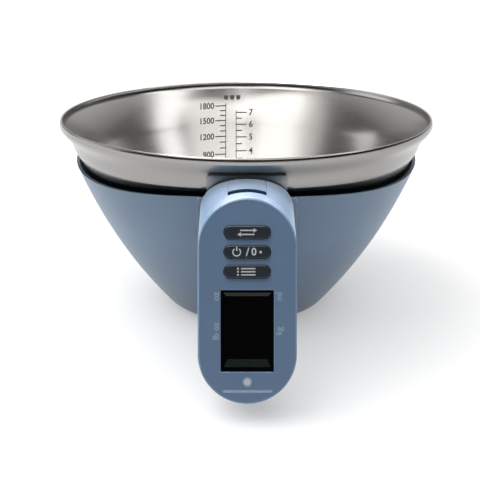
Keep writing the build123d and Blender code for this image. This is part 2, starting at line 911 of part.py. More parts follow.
def lock_supports():
    """Bosses at the ends of the pin, and the bridge that the lock's spring stands on."""
    inner = tab_width / 2 + clearance
    ends = box((inner, face_width / 2), (pivot_y - 2, pivot_y + 2), (pivot_z - 2.4, pivot_z + 6))
    ends += mirror(ends, about=Plane.YZ)
    half = face_width / 2
    bridge = box((-half, half), (spring_y - 2, spring_y + 1.2), (spring_seat_z - 2, spring_seat_z))
    return (ends + bridge) & rear_case_outside_neck()


def lock_window():
    """Window in the rear wall of the neck for the lock's nose."""
    half = nose_width / 2 + 0.6
    return box((-half, half), (-neck_back_radius - neck_wall - 4, -90), (nose_z - 1.8, far))


def lock_spring():
    """Small coil spring under the front of the tab."""
    return Pos(0, spring_y, spring_seat_z + 0.25) * coil(1.5, 0.35, 1.0, 5)


nodes = {
    "steel_bowl": steel_bowl,
    "bowl_bracket": bowl_bracket,
    "outer_shell": outer_shell,
    "base_plate": base_plate,
    "base_pad": base_pad,
    "base_screws": base_screws,
    "load_cell": load_cell,
    "gauge_seal": gauge_seal,
    "cell_spacer": cell_spacer,
    "cell_screws": cell_screws,
    "weighing_platform": weighing_platform,
    "platform_pads": platform_pads,
    "sensor_cable": sensor_cable,
    "handle_front": handle_front,
    "handle_rear": handle_rear,
    "display_window": display_window,
    "face_mark": face_mark,
    "tact_switches": tact_switches,
    "circuit_board": circuit_board,
    "controller_chip": controller_chip,
    "cable_connector": cable_connector,
    "lcd_frame": lcd_frame,
    "lcd_panel": lcd_panel,
    "zebra_strips": zebra_strips,
    "battery_tray": battery_tray,
    "batteries": batteries,
    "battery_springs": battery_springs,
    "battery_contacts": battery_contacts,
    "battery_door": battery_door,
    "handle_screws": handle_screws,
    "neck_screws": neck_screws,
    "thumb_lock": thumb_lock,
    "lock_pin": lock_pin,
    "lock_spring": lock_spring,
}

os.makedirs("parts", exist_ok=True)
for name, make in nodes.items():
    export_step(make(), f"parts/{name}.step")
for name, row in button_rows.items():
    export_step(push_button(row), f"parts/{name}.step")
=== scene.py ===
import json
import math

import bmesh
import bpy
import numpy as np
from mathutils import Euler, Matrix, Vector


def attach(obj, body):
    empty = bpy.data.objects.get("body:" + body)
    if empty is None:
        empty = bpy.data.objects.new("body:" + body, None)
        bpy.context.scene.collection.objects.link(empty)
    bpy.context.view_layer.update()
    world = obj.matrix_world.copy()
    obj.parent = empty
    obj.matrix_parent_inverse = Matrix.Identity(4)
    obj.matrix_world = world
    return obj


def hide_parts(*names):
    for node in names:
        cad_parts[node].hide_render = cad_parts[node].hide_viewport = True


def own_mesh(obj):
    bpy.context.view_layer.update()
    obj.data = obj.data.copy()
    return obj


# Kitchen scale: a steel bowl stands in a blue conical shell, and a jug-type handle in
# front of the shell holds the display and the buttons. Metres, +Z up, the bowl's axis is
# Z and the handle points to -Y.

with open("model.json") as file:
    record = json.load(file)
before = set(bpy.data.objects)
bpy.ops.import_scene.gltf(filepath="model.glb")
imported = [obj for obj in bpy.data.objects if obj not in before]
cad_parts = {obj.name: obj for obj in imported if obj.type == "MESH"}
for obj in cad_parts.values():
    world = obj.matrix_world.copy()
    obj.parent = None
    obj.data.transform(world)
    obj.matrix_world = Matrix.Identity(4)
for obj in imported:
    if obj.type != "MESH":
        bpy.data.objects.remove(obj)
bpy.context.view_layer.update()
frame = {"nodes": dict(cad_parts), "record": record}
MM = 0.001

# ---- sizes of the CAD part, in millimetres -----------------------------------------

RIM_RADIUS = 110.0
RIM_HEIGHT = 119.0
SHELL_RIM_RADIUS = 103.0
SHELL_RIM_HEIGHT = 97.0
SHELL_FOOT_RADIUS = 46.5
SHELL_BULGE = 5.45
BOWL_INSET = 3.9
STEEL = 0.8
BOWL_FLOOR = 16.2
BOWL_FILLET = 14.0
WALL_TOP = 90.0
HEM_HEIGHT = 4.0
HEM_THICKNESS = 1.7
HEM_FOOT = RIM_HEIGHT - HEM_HEIGHT + 0.6
NECK_POINTS = [
    (98.2, 94.6), (99.9, 98.0), (102.1, 101.8), (103.4, 105.4), (105.2, 109.3), (108.2, 113.0),
]
LEAN = math.radians(20.5)
FACE_TOP = (-123.2, 103.4)
FACE_LENGTH = 96.4
BUTTON_ROWS = {"unit": 32.2, "zero": 23.0, "mode": 13.8}
BUTTON_TOP = 0.7
WINDOW_HALF_WIDTH = 12.45
WINDOW_HALF_HEIGHT = 19.1
WINDOW_CENTRE = -14.0
LENS_FRONT = -0.15
LENS_BACK = -1.35
LEGEND_SCALE = 1.12
SPRING_Y = -112.8
SPRING_FOOT = 98.27
SPRING_RADIUS = 1.48
SPRING_WIRE = 0.17
SPRING_PITCH = 0.99
SPRING_TURNS = 5
MARK_CENTRE = -37.9
CUP = 236.6  # millilitres

# The shell's side is one arc, and the bowl's wall runs parallel to it inside.
side_run = SHELL_RIM_RADIUS - SHELL_FOOT_RADIUS
side_chord = math.hypot(side_run, SHELL_RIM_HEIGHT)
side_radius = (side_chord**2 / 4 + SHELL_BULGE**2) / (2 * SHELL_BULGE)
side_sink = (side_radius - SHELL_BULGE) / side_chord
side_centre_r = (SHELL_RIM_RADIUS + SHELL_FOOT_RADIUS) / 2 - side_sink * SHELL_RIM_HEIGHT
side_centre_z = SHELL_RIM_HEIGHT / 2 + side_sink * side_run


def wall_radius(z, inset):
    """Radius at height z of the shell's outer surface moved inwards by inset."""
    return side_centre_r + math.sqrt((side_radius - inset) ** 2 - (z - side_centre_z) ** 2)


# ---- mesh tools ---------------------------------------------------------------------

def new_piece(name, vertices, faces, body, material, sharp=35):
    """Mesh object from millimetre points, riding on a body."""
    mesh = bpy.data.meshes.new(name)
    mesh.from_pydata([tuple(c * MM for c in v) for v in vertices], [], faces)
    mesh.validate()
    piece = bpy.data.objects.new(name, mesh)
    bpy.context.scene.collection.objects.link(piece)
    mesh.shade_smooth()
    mesh.set_sharp_from_angle(angle=math.radians(sharp))
    mesh.materials.append(material)
    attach(piece, body)
    return piece


def lathe(outline, segments):
    """Closed surface of revolution about Z from a closed outline of (r, z) points."""
    vertices, faces, rows = [], [], []
    for r, z in outline:
        if r < 1e-6:
            rows.append([len(vertices)] * segments)
            vertices.append((0, 0, z))
            continue
        rows.append([len(vertices) + i for i in range(segments)])
        for i in range(segments):
            turn = 2 * math.pi * i / segments
            vertices.append((r * math.sin(turn), -r * math.cos(turn), z))
    for low, high in zip(rows, rows[1:]):
        for i in range(segments):
            j = (i + 1) % segments
            corners = [low[i], low[j], high[j], high[i]]
            corners = [c for k, c in enumerate(corners) if c != corners[k - 1]]
            if len(corners) > 2:
                faces.append(corners)
    return vertices, faces


def spline(points, start, end, steps):
    """Smooth line through points, with the directions given at its two ends."""
    p = np.array(points, float)
    t = np.concatenate([[0], np.cumsum(np.linalg.norm(np.diff(p, axis=0), axis=1))])
    n = len(p)
    matrix, right = np.zeros((n, n)), np.zeros((n, 2))
    matrix[0, 0] = matrix[-1, -1] = 1
    right[0] = np.array(start) / np.linalg.norm(start)
    right[-1] = np.array(end) / np.linalg.norm(end)
    for i in range(1, n - 1):
        before, after = t[i] - t[i - 1], t[i + 1] - t[i]
        matrix[i, i - 1 : i + 2] = after, 2 * (before + after), before
        rise = after * (p[i] - p[i - 1]) / before + before * (p[i + 1] - p[i]) / after
        right[i] = 3 * rise
    slopes = np.linalg.solve(matrix, right)
    line = []
    for i in range(n - 1):
        span = t[i + 1] - t[i]
        for k in range(steps):
            s = k / steps
            line.append(
                (2 * s**3 - 3 * s**2 + 1) * p[i]
                + (s**3 - 2 * s**2 + s) * span * slopes[i]
                + (3 * s**2 - 2 * s**3) * p[i + 1]
                + (s**3 - s**2) * span * slopes[i + 1]
            )
    line.append(p[-1])
    return [tuple(q) for q in line]


# ---- bowl profile --------------------------------------------------------------------

def bowl_wall(depth):
    """Bowl's surface from its axis up to the neck, depth inside the outer one."""
    inset, floor, fillet = BOWL_INSET + depth, BOWL_FLOOR + depth, BOWL_FILLET - depth
    centre_z = floor + fillet
    centre_r = wall_radius(centre_z, inset + fillet)
    end = math.atan2(centre_z - side_centre_z, centre_r - side_centre_r)
    line = [(0, floor), (centre_r * 0.5, floor), (centre_r * 0.97, floor)]
    for i in range(25):
        turn = -math.pi / 2 + (end + math.pi / 2) * i / 24
        line.append((centre_r + fillet * math.cos(turn), centre_z + fillet * math.sin(turn)))
    low = line[-1][1]
    for i in range(1, 33):
        z = low + (WALL_TOP - low) * i / 32
        line.append((wall_radius(z, inset), z))
    return line


def outer_line():
    """Outer surface: the wall, then the pressed neck up to the hem."""
    line = bowl_wall(0)
    slope = math.asin((side_centre_z - WALL_TOP) / (side_radius - BOWL_INSET))
    rising = (math.sin(slope), math.cos(slope))
    foot = (RIM_RADIUS - 0.3, HEM_FOOT)
    crown = spline([line[-1], *NECK_POINTS, foot], rising, (0.35, 1), 6)
    return line + crown[1:]


def bowl_inside():
    """Inner surface: the wall, then a smooth widening up to the hem's inner foot."""
    line = bowl_wall(STEEL)
    start_r, start_z = line[-1]
    slope = (side_centre_z - WALL_TOP) / (side_radius - BOWL_INSET - STEEL)
    rise = RIM_HEIGHT - HEM_HEIGHT + 0.5 - start_z
    curve = (RIM_RADIUS - HEM_THICKNESS - start_r - slope * rise) / rise**2
    for i in range(1, 21):
        t = rise * i / 20
        line.append((start_r + slope * t + curve * t**2, start_z + t))
    return line


def hem_line():
    """Folded hem, from its outer foot over the round top to its inner side."""
    half = HEM_THICKNESS / 2
    crown = RIM_HEIGHT - HEM_FOOT
    line = [(RIM_RADIUS - 0.35, HEM_FOOT - 0.5)]
    for i in range(13):
        turn = math.pi / 2 * i / 12
        r = RIM_RADIUS - half * (1 - math.cos(turn))
        line.append((r, HEM_FOOT + crown * math.sin(turn)))
    for i in range(1, 9):
        turn = math.pi / 2 * (1 - i / 8)
        r = RIM_RADIUS - half * (1 + math.cos(turn))
        line.append((r, RIM_HEIGHT - half * (1 - math.sin(turn))))
    return line


inner_line = bowl_inside()
inner_heights = np.array([z for _, z in inner_line[2:]])
inner_radii = np.array([r for r, _ in inner_line[2:]])


def inner_radius(z):
    """Radius of the bowl's inner surface at height z."""
    return float(np.interp(z, inner_heights, inner_radii))


def fill_height(millilitres):
    """Height that a volume of liquid reaches in the bowl."""
    levels = np.linspace(inner_heights[0], RIM_HEIGHT, 400)
    areas = math.pi * np.array([inner_radius(z) for z in levels]) ** 2
    slices = (areas[1:] + areas[:-1]) / 2 * np.diff(levels)
    volumes = np.concatenate([[0], np.cumsum(slices)]) / 1000
    return float(np.interp(millilitres, volumes, levels))


# ---- material tools --------------------------------------------------------------------

# Painted highlight: how much paler the colour is painted on rounded edges.
EDGE_HIGHLIGHT_SHARE = 3.2
# Painted shadow: how dark, and over what width, crevices are painted.
CREVICE_SHADOW_SHARE = 0.08
CREVICE_SHADOW_WIDTH = 0.0045
# Painted shadow: height over which the foot of a piece is painted darker.
PAINTED_FOOT_SHADOW_HEIGHT = 0.065
BRUSH_STRETCH = 0.0016


class Look:
    """Node material under construction."""

    def __init__(self, name, colour, roughness, metallic=0.0):
        self.material = bpy.data.materials.new(name)
        self.material.use_nodes = True
        self.tree = self.material.node_tree
        self.shader = self.tree.nodes["Principled BSDF"]
        self.colour = colour
        self.shader.inputs["Base Color"].default_value = (*colour, 1)
        self.shader.inputs["Roughness"].default_value = roughness
        self.shader.inputs["Metallic"].default_value = metallic

    def feed(self, socket, value):
        """Link another node's output into a socket, or set the socket to a constant."""
        if isinstance(value, bpy.types.NodeSocket):
            self.tree.links.new(value, socket)
        else:
            socket.default_value = value

    def set(self, name, value):
        self.feed(self.shader.inputs[name], value)

    def node(self, kind, **inputs):
        made = self.tree.nodes.new(kind)
        for name, value in inputs.items():
            self.feed(made.inputs[name.replace("_", " ")], value)
        return made

    def combine(self, kind, operation, *values):
        """Math or vector math node with its inputs linked or set in order."""
        made = self.tree.nodes.new(kind)
        made.operation = operation
        for socket, value in zip(made.inputs, values):
            self.feed(socket, value)
        return made.outputs["Value"]

    def math(self, operation, *values):
        return self.combine("ShaderNodeMath", operation, *values)

    def vector_math(self, operation, *values):
        return self.combine("ShaderNodeVectorMath", operation, *values)

    def place(self):
        return self.node("ShaderNodeTexCoord").outputs["Object"]

    def noise(self, scale, detail=3.0, vector=None):
        made = self.node("ShaderNodeTexNoise", Scale=scale, Detail=detail)
        self.tree.links.new(vector or self.place(), made.inputs["Vector"])
        return made.outputs["Fac"]

    def span(self, value, low, high, start=0.3, end=0.7):
        made = self.node("ShaderNodeMapRange", Value=value)
        made.inputs["From Min"].default_value = start
        made.inputs["From Max"].default_value = end
        made.inputs["To Min"].default_value = low
        made.inputs["To Max"].default_value = high
        return made.outputs["Result"]

    def tint(self, factor, dark, light):
        """Colour that goes from dark to light times the material's own colour."""
        ramp = self.node("ShaderNodeValToRGB", Fac=factor)
        for element, share in zip(ramp.color_ramp.elements, (dark, light)):
            element.color = (*[min(1.0, c * share) for c in self.colour], 1)
        return ramp.outputs["Color"]

    def mixed(self, factor, first, share):
        """Colour going from first to the material's own colour times share."""
        blend = self.node("ShaderNodeMix")
        blend.data_type = "RGBA"
        self.tree.links.new(factor, blend.inputs[0])
        self.tree.links.new(first, blend.inputs[6])
        blend.inputs[7].default_value = (*[min(1.0, c * share) for c in self.colour], 1)
        return blend.outputs[2]

    def bump(self, height, strength, distance, normal=None):
        made = self.node("ShaderNodeBump", Height=height, Strength=strength, Distance=distance)
        if normal is not None:
            self.tree.links.new(normal, made.inputs["Normal"])
        return made.outputs["Normal"]

    def soft_edges(self, radius):
        made = self.node("ShaderNodeBevel", Radius=radius)
        made.samples = 6
        return made.outputs["Normal"]


def moulded(
    name, colour, roughness, grain=0.16, edge=0.00035, sheen=0.3, painted_edge_highlight=0.0, painted_foot_shadow=1.0
):
    """Fine-grained moulded plastic with rounded edges that a painted highlight can make paler,
    and crevices darkened by painted shadow.

    painted_foot_shadow is the share of the colour that is left where the piece meets the floor:
    painted shadow that darkens it towards the floor.
    """
    look = Look(name, colour, roughness)
    cloud = look.tint(look.span(look.noise(28.0, 4.0), 0, 1), 0.95, 1.05)
    soft = look.soft_edges(edge)
    # Painted highlight: the colour turns paler where the rounded edge tilts the normal away from
    # the flat one.
    flat = look.node("ShaderNodeNewGeometry").outputs["Normal"]
    sides = look.vector_math("DOT_PRODUCT", soft, flat)
    shade = look.mixed(look.span(sides, painted_edge_highlight, 0, 0.93, 0.995), cloud, EDGE_HIGHLIGHT_SHARE)
    # Painted shadow: the colour is darkened in crevices, the slot and seams, where ambient
    # occlusion finds them.
    cavity = look.node("ShaderNodeAmbientOcclusion", Distance=CREVICE_SHADOW_WIDTH)
    cavity.samples = 6
    deep = look.span(cavity.outputs["AO"], 0.9, 0, 0.25, 0.8)
    shade = look.mixed(deep, shade, CREVICE_SHADOW_SHARE)
    # Painted shadow: the colour darkens towards the floor.
    if painted_foot_shadow < 1:
        parts = look.node("ShaderNodeSeparateXYZ", Vector=look.place())
        low = look.span(parts.outputs["Z"], 1, 0, 0.0, PAINTED_FOOT_SHADOW_HEIGHT)
        shade = look.mixed(low, shade, painted_foot_shadow)
    look.set("Base Color", shade)
    fine = look.noise(5200.0, 2.0)
    look.set("Roughness", look.span(fine, roughness - 0.05, roughness + 0.05))
    look.set("Normal", look.bump(fine, grain, 0.00006, soft))
    look.set("Specular IOR Level", 0.7)
    look.set("Sheen Weight", sheen)
    look.set("Sheen Roughness", 0.35)
    look.set("Sheen Tint", (0.75, 0.88, 1.0, 1))
    return look.material


def spun_steel(name, colour, roughness, anisotropy=0.6, painted_outside_shade=1.0):
    """Steel brushed in rings round the bowl's axis; a darker colour on its outside is painted
    shade.
    """
    look = Look(name, colour, roughness, 1.0)
    parts = look.node("ShaderNodeSeparateXYZ", Vector=look.place())
    x, y, z = (parts.outputs[axis] for axis in "XYZ")
    outwards = look.node("ShaderNodeCombineXYZ", X=x, Y=y).outputs["Vector"]
    across = look.math("ADD", z, look.vector_math("LENGTH", outwards))
    along = look.math("MULTIPLY", look.math("ARCTAN2", x, y), BRUSH_STRETCH)
    rings = look.node("ShaderNodeCombineXYZ", X=along, Y=across).outputs["Vector"]
    brushed = look.noise(3600.0, 3.0, rings)
    surface = look.node("ShaderNodeTexCoord").outputs["Normal"]
    # Painted shade: the outward-facing side takes the plain colour times the outside share,
    # darker than the inside.
    facing = look.vector_math("DOT_PRODUCT", outwards, surface)
    outer = look.span(facing, 0, 1, -0.0005, 0.0005)
    streaks = look.tint(look.span(brushed, 0, 1), 0.965, 1.035)
    look.set("Base Color", look.mixed(outer, streaks, painted_outside_shade))
    fine = look.span(brushed, -0.035, 0.035)
    broad = look.span(look.noise(16.0, 3.0), roughness - 0.02, roughness + 0.02)
    look.set("Roughness", look.math("ADD", fine, broad))
    look.set("Normal", look.bump(brushed, 0.10, 0.00003))
    look.set("Anisotropic", anisotropy)
    tangent = look.node("ShaderNodeTangent")
    tangent.direction_type = "RADIAL"
    tangent.axis = "Z"
    look.set("Tangent", tangent.outputs["Tangent"])
    return look.material


def plain_metal(name, colour, roughness):
    """Small turned or rolled metal part with fine scratches."""
    look = Look(name, colour, roughness, 1.0)
    scratches = look.noise(1800.0, 4.0)
    look.set("Base Color", look.tint(look.span(scratches, 0, 1), 0.9, 1.06))
    look.set("Roughness", look.span(scratches, roughness - 0.06, roughness + 0.08))
    look.set("Normal", look.bump(scratches, 0.12, 0.00003, look.soft_edges(0.00015)))
    return look.material


def rubbery(name, colour, roughness=0.75):
    """Soft rubber with a fine matt skin."""
    look = Look(name, colour, roughness)
    skin = look.noise(3000.0, 3.0)
    look.set("Base Color", look.tint(look.span(look.noise(60.0), 0, 1), 0.85, 1.15))
    look.set("Roughness", look.span(skin, roughness - 0.08, roughness + 0.08))
    look.set("Normal", look.bump(skin, 0.3, 0.00008, look.soft_edges(0.0003)))
    return look.material


def glossy(name, colour, roughness):
    """Glossy lens or wrap with a trace of dust."""
    look = Look(name, colour, roughness)
    dust = look.noise(900.0, 5.0)
    look.set("Base Color", look.tint(look.span(dust, 0, 1, 0.55, 0.8), 0.9, 1.3))
    look.set("Roughness", look.span(dust, roughness, roughness + 0.12, 0.55, 0.85))
    look.set("Specular IOR Level", 0.3)
    return look.material


def circuit(name, colour):
    """Solder mask over copper tracks."""
    look = Look(name, colour, 0.35)
    tracks = look.node("ShaderNodeTexBrick", Scale=160.0, Mortar_Size=0.05)
    look.tree.links.new(look.place(), tracks.inputs["Vector"])
    look.set("Base Color", look.tint(tracks.outputs["Fac"], 1.0, 2.2))
    look.set("Normal", look.bump(tracks.outputs["Fac"], 0.4, 0.00005))
    return look.material


def ink(name, colour, roughness=0.6):
    """Screen print with slightly uneven cover."""
    look = Look(name, colour, roughness)
    cover = look.noise(1500.0, 4.0)
    look.set("Base Color", look.tint(look.span(cover, 0, 1), 0.88, 1.08))
    look.set("Roughness", look.span(cover, roughness - 0.08, roughness + 0.08))
    return look.material


looks = {
    # The bowl's outside is painted darker than its inside: painted shade.
    "bowl_steel": spun_steel("bowl_steel", (0.46, 0.45, 0.438), 0.2, 0.75, 0.68),
    # The bracket plate's dark colour and darker outside are painted shade on steel like the
    # bowl's.
    "bracket_steel": spun_steel("bracket_steel", (0.26, 0.262, 0.262), 0.36, 0.3),
    # The shell's lower part is painted darker: painted shadow.
    "shell_plastic": moulded("shell_plastic", (0.100, 0.172, 0.268), 0.40, painted_foot_shadow=0.45),
    # The handle's and the tab's paler edges are a painted highlight.
    "handle_plastic": moulded(
        "handle_plastic", (0.108, 0.172, 0.275), 0.36, edge=0.0005, sheen=0.45, painted_edge_highlight=0.5
    ),
    "tab_plastic": moulded(
        "tab_plastic", (0.098, 0.155, 0.245), 0.36, edge=0.0004, sheen=0.4, painted_edge_highlight=0.9
    ),
    "base_plastic": moulded("base_plastic", (0.095, 0.105, 0.115), 0.55),
    "rubber": rubbery("rubber", (0.03, 0.032, 0.035)),
    "screw_steel": plain_metal("screw_steel", (0.55, 0.55, 0.56), 0.3),
    "spring_steel": plain_metal("spring_steel", (0.6, 0.6, 0.6), 0.25),
    "cell_aluminium": plain_metal("cell_aluminium", (0.75, 0.75, 0.77), 0.38),
    "sealant": rubbery("sealant", (0.75, 0.75, 0.72), 0.5),
    "soft_pad": rubbery("soft_pad", (0.20, 0.22, 0.25)),
    "cable": rubbery("cable", (0.70, 0.70, 0.71), 0.5),
    "window": glossy("window", (0.0015, 0.0016, 0.0018), 0.05),
    "print_light": ink("print_light", (0.27, 0.34, 0.41)),
    "switch_plastic": moulded("switch_plastic", (0.03, 0.03, 0.03), 0.45),
    "board": circuit("board", (0.02, 0.12, 0.055)),
    "chip": moulded("chip", (0.02, 0.02, 0.02), 0.55),
    "connector": moulded("connector", (0.75, 0.72, 0.62), 0.45),
    "frame_plastic": moulded("frame_plastic", (0.02, 0.02, 0.022), 0.5),
    "lcd": glossy("lcd", (0.10, 0.12, 0.10), 0.08),
    "zebra": rubbery("zebra", (0.10, 0.09, 0.10)),
    "cell_wrap": glossy("cell_wrap", (0.05, 0.07, 0.09), 0.2),
    "button_plastic": moulded(
        "button_plastic", (0.004, 0.010, 0.018), 0.45, grain=0.1, edge=0.0002, sheen=0.0
    ),
}
window_foot = glossy("window_foot", (0.013, 0.016, 0.017), 0.2)
print_dark = ink("print_dark", (0.10, 0.088, 0.075), 0.5)
print_pale = ink("print_pale", (0.46, 0.50, 0.53))
print_faint = ink("print_faint", (0.27, 0.35, 0.43))

for entry in frame["record"]["subparts"]:
    for material_slot in frame["nodes"][entry["node"]].material_slots:
        material_slot.material = looks[entry["material_slot"]]


# ---- prints ----------------------------------------------------------------------------

def in_order(elements, place):
    """Sort mesh elements by their place, because an extrusion leaves them in no fixed order."""
    rank = {element: i for i, element in enumerate(sorted(elements, key=place))}
    elements.sort(key=lambda element: rank[element])


class Sheet:
    """Flat artwork in millimetres, which is then laid on a surface as a thin print."""

    def __init__(self):
        self.vertices = []
        self.faces = []

    def add(self, points, faces):
        start = len(self.vertices)
        self.vertices += points
        self.faces += [[start + i for i in f] for f in faces]

    def bar(self, x0, y0, x1, y1, step=1.5):
        """Upright rectangle, divided so that it can follow a curved surface."""
        columns = max(1, math.ceil((x1 - x0) / step))
        rows = max(1, math.ceil((y1 - y0) / step))
        points = []
        for j in range(rows + 1):
            for i in range(columns + 1):
                points.append((x0 + (x1 - x0) * i / columns, y0 + (y1 - y0) * j / rows))
        wide = columns + 1
        faces = []
        for j in range(rows):
            for i in range(columns):
                a = j * wide + i
                faces.append([a, a + 1, a + wide + 1, a + wide])
        self.add(points, faces)

    def arc(self, x, y, inner, outer, start=0.0, end=360.0, steps=28):
        """Ring or part of a ring, from start to end degrees."""
        points, faces = [], []
        for i in range(steps + 1):
            turn = math.radians(start + (end - start) * i / steps)
            for r in (inner, outer):
                points.append((x + r * math.cos(turn), y + r * math.sin(turn)))
            if i:
                a = 2 * i - 2
                faces.append([a, a + 1, a + 3, a + 2])
        self.add(points, faces)

    def shape(self, points):
        """Convex polygon."""
        self.add(points, [list(range(len(points)))])

    def word(self, text, x, y, size, align="CENTER", turned=0):
        """Plain characters in the default font, with an optional quarter turn."""
        curve = bpy.data.curves.new("word", "FONT")
        curve.body = text
        curve.size = size
        curve.align_x = align
        curve.align_y = "CENTER"
        curve.resolution_u = 4
        curve.offset = size * 0.022
        holder = bpy.data.objects.new("word", curve)
        bpy.context.scene.collection.objects.link(holder)
        bpy.context.view_layer.update()
        mesh = bpy.data.meshes.new_from_object(holder)
        c, s = math.cos(math.radians(turned)), math.sin(math.radians(turned))
        points = []
        for v in mesh.vertices:
            points.append((x + v.co.x * c - v.co.y * s, y + v.co.x * s + v.co.y * c))
        self.add(points, [list(p.vertices) for p in mesh.polygons])
        bpy.data.objects.remove(holder)
        bpy.data.curves.remove(curve)
        bpy.data.meshes.remove(mesh)

    def lay(self, name, surface, body, slot, material, thickness=0.04, slices=()):
        """Mesh on a surface: surface(x, y, height) gives the place of an artwork point."""
        flat = bmesh.new()
        made = [flat.verts.new((x, y, 0)) for x, y in self.vertices]
        for f in self.faces:
            try:
                flat.faces.new([made[i] for i in f])
            except ValueError:
                continue
        bmesh.ops.remove_doubles(flat, verts=flat.verts, dist=0.0005)
        for y in slices:
            everything = flat.verts[:] + flat.edges[:] + flat.faces[:]
            bmesh.ops.bisect_plane(flat, geom=everything, plane_co=(0, y, 0), plane_no=(0, 1, 0))
        below = list(flat.faces)
        top = bmesh.ops.extrude_face_region(flat, geom=below, use_keep_orig=True)
        raised = {v for v in top["geom"] if isinstance(v, bmesh.types.BMVert)}
        for v in flat.verts:
            v.co = surface(v.co.x, v.co.y, thickness if v in raised else 0.01)
        in_order(flat.verts, lambda v: tuple(v.co))
        in_order(flat.faces, lambda f: tuple(f.calc_center_median()))
        bmesh.ops.recalc_face_normals(flat, faces=flat.faces)
        mesh = bpy.data.meshes.new(name)
        flat.to_mesh(mesh)
        flat.free()
        mesh.transform(((MM, 0, 0, 0), (0, MM, 0, 0), (0, 0, MM, 0), (0, 0, 0, 1)))
        mesh.materials.append(material)
        piece = bpy.data.objects.new(name, mesh)
        bpy.context.scene.collection.objects.link(piece)
        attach(piece, body)
        return piece


FACE_CENTRE = (
    FACE_TOP[0] - math.sin(LEAN) * FACE_LENGTH / 2,
    FACE_TOP[1] - math.cos(LEAN) * FACE_LENGTH / 2,
)


def on_face(x, y, height):
    """Point on the handle's face: x across, y up the face, height out of it."""
    back = FACE_CENTRE[0] + math.sin(LEAN) * y - math.cos(LEAN) * height
    up = FACE_CENTRE[1] + math.cos(LEAN) * y + math.sin(LEAN) * height
    return Vector((x, back, up))


def in_bowl(x, z, height):
    """Point on the far inner wall of the bowl."""
    radius = inner_radius(z)
    turn = x / radius
    return Vector(((radius - height) * math.sin(turn), (radius - height) * math.cos(turn), z))


# ---- bowl --------------------------------------------------------------------------------

def make_bowl():
    """Spun steel bowl with its folded hem."""
    outline = outer_line() + hem_line() + bowl_inside()[::-1]
    vertices, faces = lathe(outline, 288)
    bowl = new_piece("bowl_body", vertices, faces, "bowl", looks["bowl_steel"], 50)
    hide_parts("steel_bowl")


def make_volume_scale():
    """Millilitre and cup scales printed on the far inner wall."""
    art = Sheet()
    line_left, line_right = -14.2, -6.7
    line_width, tick_width = 0.5, 0.7
    long_tick, short_tick = 7.6, 4.2
    letter = 5.6
    low = fill_height(100)
    for x, top in ((line_left, fill_height(1850)), (line_right, fill_height(1700))):
        art.bar(x - line_width / 2, low, x + line_width / 2, top)
    for volume in range(100, 1801, 100):
        z = fill_height(volume)
        major = volume % 300 == 0
        reach = long_tick if major else short_tick
        art.bar(line_left - reach, z - tick_width / 2, line_left, z + tick_width / 2)
        if major:
            art.word(str(volume), line_left - reach - 0.8, z, letter, "RIGHT")
    for half_cups in range(1, 15):
        z = fill_height(half_cups * CUP / 2)
        major = half_cups % 2 == 0
        reach = long_tick if major else short_tick
        art.bar(line_right, z - tick_width / 2, line_right + reach, z + tick_width / 2)
        if major:
            art.word(str(half_cups // 2), line_right + reach + 1.6, z, letter, "LEFT")
    mark_foot = fill_height(1800) + 4.0
    mark_top = mark_foot + 2.8
    for x in (-14.0, -9.6, -5.2):
        corners = [(-1.2, mark_foot), (1.2, mark_foot), (1.7, mark_top), (-1.7, mark_top)]
        art.shape([(x + across, z) for across, z in corners])
    slices = np.arange(low, RIM_HEIGHT, 0.9)
    art.lay("volume_scale", in_bowl, "bowl", "print_light", print_dark, 0.06, slices)


# ---- window ------------------------------------------------------------------------------

def rounded(half_w, half_h, radius, steps=6):
    """Points of a rounded rectangle about the window's centre."""
    points = []
    for corner, (sx, sy) in enumerate(((1, 1), (-1, 1), (-1, -1), (1, -1))):
        for i in range(steps + 1):
            turn = math.pi / 2 * (corner + i / steps)
            x = sx * (half_w - radius) + radius * math.cos(turn)
            y = sy * (half_h - radius) + radius * math.sin(turn)
            points.append((x, y))
    return points


def make_window():
    """Black lens: a flat border, and a deeper pane with sloping sides and a wide foot."""
    border, foot_border = 1.15, 2.2
    side_slope, foot_slope, depth = 1.6, 3.7, 0.5

    def inner(inset, foot, height):
        half_w = WINDOW_HALF_WIDTH - inset
        half_h = WINDOW_HALF_HEIGHT - (inset + foot) / 2
        return [(x, y + (foot - inset) / 2, height) for x, y in rounded(half_w, half_h, 0.4)]

    outer = rounded(WINDOW_HALF_WIDTH, WINDOW_HALF_HEIGHT, 1.0)
    loops = [
        [(x, y, LENS_BACK) for x, y in outer],
        [(x, y, LENS_FRONT - 0.12) for x, y in outer],
        [(x * 0.992, y * 0.995, LENS_FRONT) for x, y in outer],
        inner(border, foot_border, LENS_FRONT),
        inner(border + side_slope, foot_border + foot_slope, LENS_FRONT - depth),
    ]
    count = len(outer)
    vertices = [tuple(on_face(x, y + WINDOW_CENTRE, h)) for loop in loops for x, y, h in loop]
    faces = []
    for k in range(len(loops) - 1):
        for i in range(count):
            j = (i + 1) % count
            faces.append([k * count + i, k * count + j, (k + 1) * count + j, (k + 1) * count + i])
    faces.append(list(range(count))[::-1])
    faces.append([(len(loops) - 1) * count + i for i in range(count)])
    lens = new_piece("window_lens", vertices, faces, "base", looks["window"], 8)
    # The pane's slope along its lower edge is paler than the rest.
    lens.data.materials.append(window_foot)
    last_ring = (len(loops) - 2) * count
    lowest_side = 3 * (count // 4) - 1
    lens.data.polygons[last_ring + lowest_side].material_index = 1
    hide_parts("display_window")


# ---- prints of the handle ------------------------------------------------------------------

